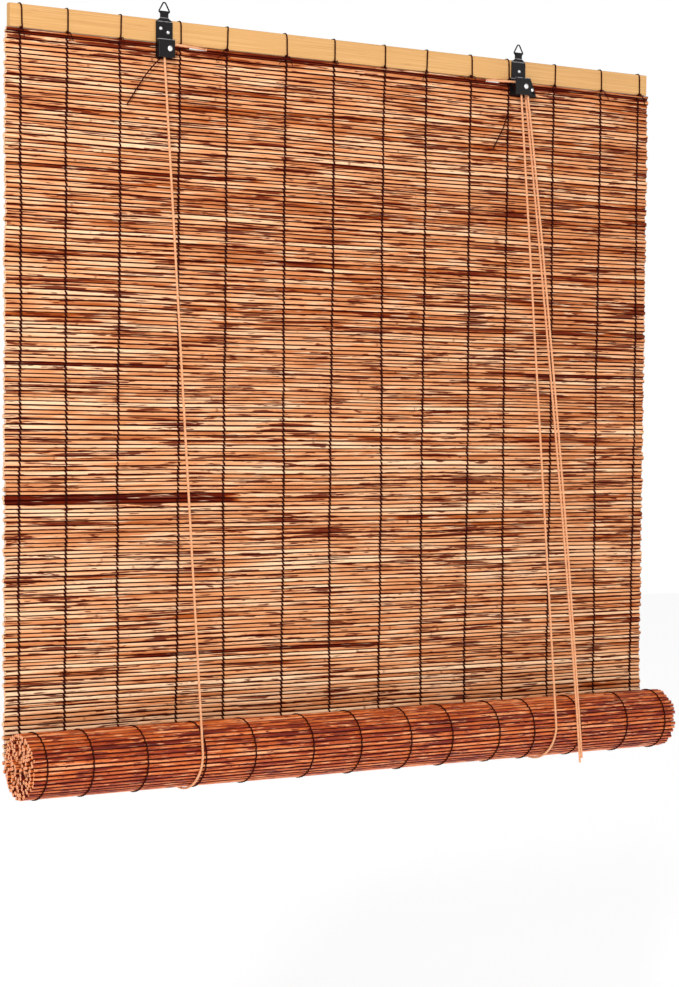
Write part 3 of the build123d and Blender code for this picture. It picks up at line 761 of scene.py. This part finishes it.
roll_reed = dry_reed(
    "roll_reed",
    pale=paint(252, 176, 124),
    ripe=paint(218, 110, 46),
    bark=paint(168, 62, 14),
    scar=paint(116, 22, 0),
    # The darkest tone of a cane, and also the colour of the painted shade in the grooves
    # between canes.
    darkest_and_shade=paint(88, 6, 0),
    roughness=0.28,
    grain=1.9,
    shade_from=0.66,
    gloss=0.30,
)
OUTER_RINGS = 40
OUTER_SPREAD = 0.0022
outer_angle = 2 * np.pi * np.arange(ROLL_REEDS) / ROLL_REEDS
outer_x, outer_swell = cane_stations(
    ROLL_REEDS, LEFT_END, RIGHT_END, OUTER_RINGS, OUTER_SPREAD
)
outer_size = CANE_RADIUS * np.clip(rng.normal(1.06, 0.10, (ROLL_REEDS, 1)), 0.85, 1.22)
outer_distance = turn_radius(outer_angle) - outer_size[:, 0] + CANE_RADIUS
outer_grid, outer_seed = roll_canes(
    outer_angle, outer_distance, outer_x, outer_size * (1 + 0.08 * outer_swell)
)
outer_tone = rng.normal(0.46, 0.12, (ROLL_REEDS, 1))
outer_turn = tubes_mesh(
    "roll_outer_turn",
    outer_grid,
    {"seed": outer_seed, "tone": outer_tone, "swell": outer_swell},
    roll_reed,
)
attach(outer_turn, "roll")
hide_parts("reed_roll")

# Inner turns: short reed ends at both ends of the roll, at their own heights, on
# rings one reed apart, except where the bottom batten is.
END_DEPTH = 0.045
RING_STEP = 0.0046
STUB_GAP = 0.0047
RING_SHIFT = 900  # radians for each metre of a ring's size, so that no two rings line up
SLAT_CLEAR = 0.0014
STUB_SHAPE = np.array([0.0, 0.5, 0.93, 1.0])
slat_low, slat_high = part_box("bottom_batten")
ring_sizes = TURN_RADIUS - RING_STEP * np.arange(1, 8)
ring_counts = (2 * np.pi * ring_sizes / STUB_GAP).astype(int)
distances = np.repeat(ring_sizes, ring_counts)
ring_starts = np.cumsum(ring_counts) - ring_counts
order = np.arange(len(distances)) - np.repeat(ring_starts, ring_counts)
angles = 2 * np.pi * order / np.repeat(ring_counts, ring_counts) + distances * RING_SHIFT
distances = distances + rng.uniform(-0.0005, 0.0005, len(angles))
end_y = ROLL_Y + distances * np.cos(angles)
end_z = ROLL_Z - distances * np.sin(angles)
inside = (
    (end_y > slat_low[1] - SLAT_CLEAR) & (end_y < slat_high[1] + SLAT_CLEAR)
    & (end_z > slat_low[2] - SLAT_CLEAR) & (end_z < slat_high[2] + SLAT_CLEAR)
)
angles, distances = angles[~inside], distances[~inside]
for side, end_x, inward in (("left", LEFT_END, 1.0), ("right", RIGHT_END, -1.0)):
    tips = end_x + inward * rng.uniform(-0.0025, 0.0035, (len(angles), 1))
    stub_x = tips + inward * END_DEPTH * (1 - STUB_SHAPE)
    if inward < 0:
        stub_x = stub_x[:, ::-1]
    stub_size = CANE_RADIUS * rng.uniform(0.90, 1.14, (len(angles), 1)) * np.ones((1, 4))
    stub_grid, stub_seed = roll_canes(angles, distances, stub_x, stub_size)
    stub_tone = rng.uniform(0.1, 0.6, (len(angles), 1))
    stubs = tubes_mesh(
        f"{side}_roll_ends",
        stub_grid,
        {"seed": stub_seed, "tone": stub_tone, "swell": 0.0},
        roll_reed,
    )
    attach(stubs, "roll")
    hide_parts("reed_roll")

# The hidden turns between the ends, one ribbed drum round the bottom batten, in the darkest
# colour as painted shade of the roll's inside, seen between the cut ends.
DRUM_SIDES = 96
DRUM_RIBS = 32
DRUM_RADIUS = 0.0352
DRUM_INSET = 0.03
drum_angle = 2 * np.pi * np.arange(DRUM_SIDES) / DRUM_SIDES
drum_distance = DRUM_RADIUS + 0.0006 * np.cos(drum_angle * DRUM_RIBS)
drum_x = np.array([LEFT_END + DRUM_INSET, MIDDLE_X, RIGHT_END - DRUM_INSET])
drum_shape = (3, DRUM_SIDES)
drum_grid = np.stack([
    np.broadcast_to(drum_x[:, None], drum_shape),
    np.broadcast_to(ROLL_Y + drum_distance * np.cos(drum_angle), drum_shape),
    np.broadcast_to(ROLL_Z - drum_distance * np.sin(drum_angle), drum_shape),
], axis=-1)[None]
# Darkest tone and full knuckle scars: painted shade inside the roll.
drum = tubes_mesh(
    "roll_inner_turns", drum_grid, {"seed": 0.4, "tone": 1.0, "swell": 1.0}, roll_reed
)
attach(drum, "roll")
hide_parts("reed_roll")

# -------------------------------------------------------------------- roll threads
# The warps go on round the roll, over its outer reeds, sinking a little between.

HOOP_STEPS = ROLL_REEDS * 3
HOOP_RADIUS = 0.0009
HOOP_CLEAR = 0.0007
hoop = np.linspace(np.radians(12), np.radians(338), HOOP_STEPS)
dip = 0.5 - 0.5 * np.cos(hoop * ROLL_REEDS)
hoop_distance = turn_radius(hoop) + CANE_RADIUS + HOOP_CLEAR - 0.0004 * dip
skew = rng.uniform(-0.003, 0.003, (len(WARP_X), 1))
hoop_shape = (len(WARP_X), HOOP_STEPS)
hoop_paths = np.stack([
    WARP_X[:, None] + skew * np.sin(hoop / 2) + 0.0004 * np.sin(hoop * ROLL_REEDS / 2),
    np.broadcast_to(ROLL_Y + hoop_distance * np.cos(hoop), hoop_shape),
    np.broadcast_to(ROLL_Z - hoop_distance * np.sin(hoop), hoop_shape),
], axis=-1)
hoops = tubes_mesh(
    "roll_warps", strand_grid(hoop_paths, HOOP_RADIUS, 6, (1.0, 0.0, 0.0)), {}, thread
)
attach(hoops, "roll")
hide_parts("roll_threads")


# ------------------------------------------------------------ brackets and rings
# Folded sheet steel dipped in black paint, with a few specks worn to bare steel and a painted
# highlight along its folds, and bent wire rings in the same paint.


def black_paint(name, folds):
    """Gloss black with faint ripples and a few specks worn to bare steel, and a painted
    highlight in steel grey along level folds, each fold at its own height."""
    black, bare_steel_and_highlight = (0.004, 0.003, 0.003), (0.26, 0.25, 0.25)
    finish, tree, shader = new_finish(name, black, 0.4)
    shader.inputs["Specular IOR Level"].default_value = 0.25
    place = add_node(tree, "ShaderNodeTexCoord").outputs["Object"]
    height = add_node(tree, "ShaderNodeSeparateXYZ", {}, {"Vector": place}).outputs["Z"]
    ripple = noise(tree, stretched(tree, place, (220, 220, 220)), 1.0, 3.0)
    speck = noise(tree, stretched(tree, place, (1500, 1500, 1500)), 1.0, 3.0)
    wear_and_fold_highlight = between(tree, speck, 0.70, 0.80)
    # Painted highlight: a thin steel-grey line at the height of each fold, broken by the
    # ripples.
    for fold in folds:
        away = calc(tree, "ABSOLUTE", calc(tree, "SUBTRACT", height, fold))
        line = calc(tree, "SUBTRACT", 1.0, between(tree, away, 0.0002, 0.0006))
        fold_highlight = calc(tree, "MULTIPLY", line, between(tree, ripple, 0.3, 0.5))
        wear_and_fold_highlight = calc(tree, "MAXIMUM", wear_and_fold_highlight, fold_highlight)
    tree.links.new(mix(tree, wear_and_fold_highlight, black, bare_steel_and_highlight), shader.inputs["Base Color"])
    dull = calc(tree, "ADD", 0.3, calc(tree, "MULTIPLY", ripple, 0.3))
    tree.links.new(dull, shader.inputs["Roughness"])
    raise_by(tree, shader, ripple, 0.0004)
    return finish


# Heights of the folds that get a painted highlight.
STRAP_FOLDS = [-0.0225, -0.0180]
BOX_FOLDS = [-0.0448]
strap_paint = black_paint("strap_paint", STRAP_FOLDS)
box_paint = black_paint("box_paint", BOX_FOLDS)
ring_paint = black_paint("ring_paint", [])
for side, box in (("left", "pulley"), ("right", "lock")):
    refinish(f"{side}_hanger_strap", strap_paint)
    refinish(f"{side}_{box}_housing", box_paint)
    refinish(f"{side}_ring", ring_paint)


# -------------------------------------------------------- rivets, screws, wheels
# Bright nickel rivets and screws, moulded nylon wheels, a brass lock roller.


def polished(name, colour, roughness, metallic):
    """Hard surface with fine turning marks."""
    finish, tree, shader = new_finish(name, colour, roughness, metallic)
    place = add_node(tree, "ShaderNodeTexCoord").outputs["Object"]
    marks = noise(tree, stretched(tree, place, (900, 3000, 900)), 1.0, 3.0)
    dull = tuple(0.7 * part for part in colour)
    tree.links.new(mix(tree, marks, colour, dull), shader.inputs["Base Color"])
    raise_by(tree, shader, marks, 0.0001)
    return finish


nickel = polished("nickel", (0.92, 0.92, 0.92), 0.34, 0.55)
for name in ("left_axle_rivet", "right_axle_rivet", "left_batten_screws",
             "right_batten_screws", "lock_pin"):
    refinish(name, nickel)
nylon = polished("nylon", (0.80, 0.79, 0.74), 0.45, 0.0)
for name in ("left_pulley", "right_rear_pulley", "right_front_pulley"):
    refinish(name, nylon)
refinish("lock_roller", polished("brass", (0.72, 0.52, 0.22), 0.3, 1.0))


# ------------------------------------------------------------------------- cords
# Soft twisted cord, peach coloured, 3 mm thick: three strands laid together. One
# cord lifts each side; both run over the wheels and out through the lock.


def twisted_cord():
    """Peach cotton with fine fibres."""
    finish, tree, shader = new_finish("twisted_cord", paint(236, 170, 124), 0.75)
    place = add_node(tree, "ShaderNodeTexCoord").outputs["Object"]
    fibres = noise(tree, stretched(tree, place, (1800, 1800, 700)), 1.0, 4.0)
    colour = ramp(tree, fibres, [
        (0.30, paint(186, 112, 68)), (0.50, paint(232, 164, 116)), (0.75, paint(250, 204, 164))
    ])
    tree.links.new(colour, shader.inputs["Base Color"])
    raise_by(tree, shader, fibres, 0.0004)
    return finish


CORD_RADIUS = 0.0015
PLY_RADIUS = 0.56 * CORD_RADIUS
PLY_OFFSET = 0.48 * CORD_RADIUS
LAY_LENGTH = 0.0105
CORD_STEP = 0.0014
cord_finish = twisted_cord()


def even_points(points, step):
    """The same line, with points an even step apart along it."""
    along = np.concatenate([[0], np.cumsum(np.linalg.norm(np.diff(points, axis=0), axis=1))])
    number = max(int(along[-1] / step), 8)
    at = np.linspace(0, along[-1], number + 1)
    return np.stack([np.interp(at, along, points[:, k]) for k in range(3)], axis=1), at


def laid_cord(name, points):
    """Three strands wound round a line: each is offset by about half the cord's radius,
    a third of a turn from the next, and turns once in a lay length."""
    line, at = even_points(points, CORD_STEP)
    along = np.gradient(line, axis=0)
    along /= np.linalg.norm(along, axis=1, keepdims=True)
    first = np.cross(along, (1.0, 0.0, 0.0))
    first /= np.linalg.norm(first, axis=1, keepdims=True)
    second = np.cross(along, first)
    phase = 2 * np.pi * (at[None, :, None] / LAY_LENGTH + np.arange(3)[:, None, None] / 3)
    paths = line + PLY_OFFSET * (np.cos(phase) * first + np.sin(phase) * second)
    strands = strand_grid(paths, PLY_RADIUS, 6, (1.0, 0.0, 0.0))
    return tubes_mesh(name, strands, {}, cord_finish)


for name in ("left_cord_knot", "right_cord_knot", "left_cord_head_run",
             "right_cord_over_wheel"):
    refinish(name, cord_finish)

WRAP_RADIUS = 0.0061
LEG_TOP = -0.062
REAR_TOP = -0.046
BIGHT_RADIUS = 0.0425
BACK_Y = batten_high[1] + CORD_RADIUS + 0.0002

# X and Y where each front leg leaves its wheel, and X of each rear leg and of the
# front leg's foot.
LEGS = {
    "left": (0.0045 - WRAP_RADIUS, -0.0035, 0.006, 0.016),
    "right": (0.5618 - WRAP_RADIUS, -0.0085, 0.562, 0.576),
}
for side, (wheel_x, wheel_y, rear_x, foot_x) in LEGS.items():
    rise, back = LEG_TOP - ROLL_Z, ROLL_Y - wheel_y
    leaving = np.arctan2(rise, back) - np.arccos(BIGHT_RADIUS / np.hypot(rise, back))
    under = np.linspace(0, np.pi + leaving, 60)
    bight_points = np.stack([
        rear_x + (foot_x - rear_x) * under / under[-1],
        ROLL_Y + BIGHT_RADIUS * np.cos(under),
        ROLL_Z - BIGHT_RADIUS * np.sin(under),
    ], axis=1)
    bight = laid_cord(f"{side}_bight_strands", bight_points)
    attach(bight, "roll_carrier")
    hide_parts(f"{side}_cord_bight")
    for end, head, foot in (
        ("rear", (rear_x, BACK_Y, REAR_TOP), bight_points[0]),
        ("front", (wheel_x, wheel_y, LEG_TOP), bight_points[-1]),
    ):
        leg = laid_cord(f"{side}_{end}_strands", np.array([head, foot]))
        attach(leg, "head")
        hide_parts(f"{side}_cord_{end}_leg")
        shorten(leg)

# The pull tails hang loose from the lock and lie on the front of the roll.
TAIL_X = 0.5679
TAIL_FRONT = ROLL_Y - BIGHT_RADIUS - 0.0008
TAIL_ROUTES = {
    "rear_pull_tail": [
        (TAIL_X, -0.0035, -0.072),
        (0.5736, -0.0075, -0.130),
        (0.5990, -0.0500, -0.600),
        (0.6125, TAIL_FRONT, -0.915),
        (0.6180, TAIL_FRONT + 0.0005, -0.976),
    ],
    "front_pull_tail": [
        (TAIL_X, -0.0085, -0.072),
        (0.5750, -0.0125, -0.130),
        (0.6030, -0.0520, -0.600),
        (0.6157, TAIL_FRONT, -0.915),
        (0.6212, TAIL_FRONT + 0.0005, -0.970),
    ],
}


def smooth_line(name, route):
    """Points of the smooth line whose control points are the route's."""
    curve = bpy.data.curves.new(name, "CURVE")
    curve.dimensions = "3D"
    curve.resolution_u = 24
    spline = curve.splines.new("NURBS")
    spline.points.add(len(route) - 1)
    for point, place in zip(spline.points, route):
        point.co = (*place, 1.0)
    spline.order_u = 3
    spline.use_endpoint_u = True
    holder = bpy.data.objects.new(name, curve)
    bpy.context.collection.objects.link(holder)
    bpy.context.view_layer.update()
    mesh = bpy.data.meshes.new_from_object(holder)
    points = np.array([vertex.co[:] for vertex in mesh.vertices])
    bpy.data.objects.remove(holder)
    bpy.data.curves.remove(curve)
    bpy.data.meshes.remove(mesh)
    return points


for name, route in TAIL_ROUTES.items():
    line = smooth_line(f"{name}_line", route)
    tail = laid_cord(f"{name}_strands", line)
    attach(tail, "head")
    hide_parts(name)
    shorten(tail)

# ------------------------------------------------------------------- loose threads
# Ends of binding thread left long: they hang before the mat beside the brackets.

LOOSE_RADIUS = 0.00085
LOOSE_STEP = 0.001
LOOSE_ROUTES = {
    "left_loose_thread": [
        (-0.004, -0.0015, -0.066),
        (-0.020, -0.0035, -0.080),
        (-0.034, -0.0010, -0.100),
        (-0.052, 0.0000, -0.128),
    ],
    "right_loose_thread": [
        (0.540, -0.0005, -0.090),
        (0.534, -0.0025, -0.106),
        (0.527, -0.0005, -0.122),
        (0.516, 0.0005, -0.141),
    ],
}
for name, route in LOOSE_ROUTES.items():
    line, _ = even_points(smooth_line(f"{name}_line", route), LOOSE_STEP)
    loose_grid = strand_grid(line[None], LOOSE_RADIUS, 6, (1.0, 0.0, 0.0))
    loose = tubes_mesh(name, loose_grid, {}, thread)
    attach(loose, "head")
    shorten(loose)
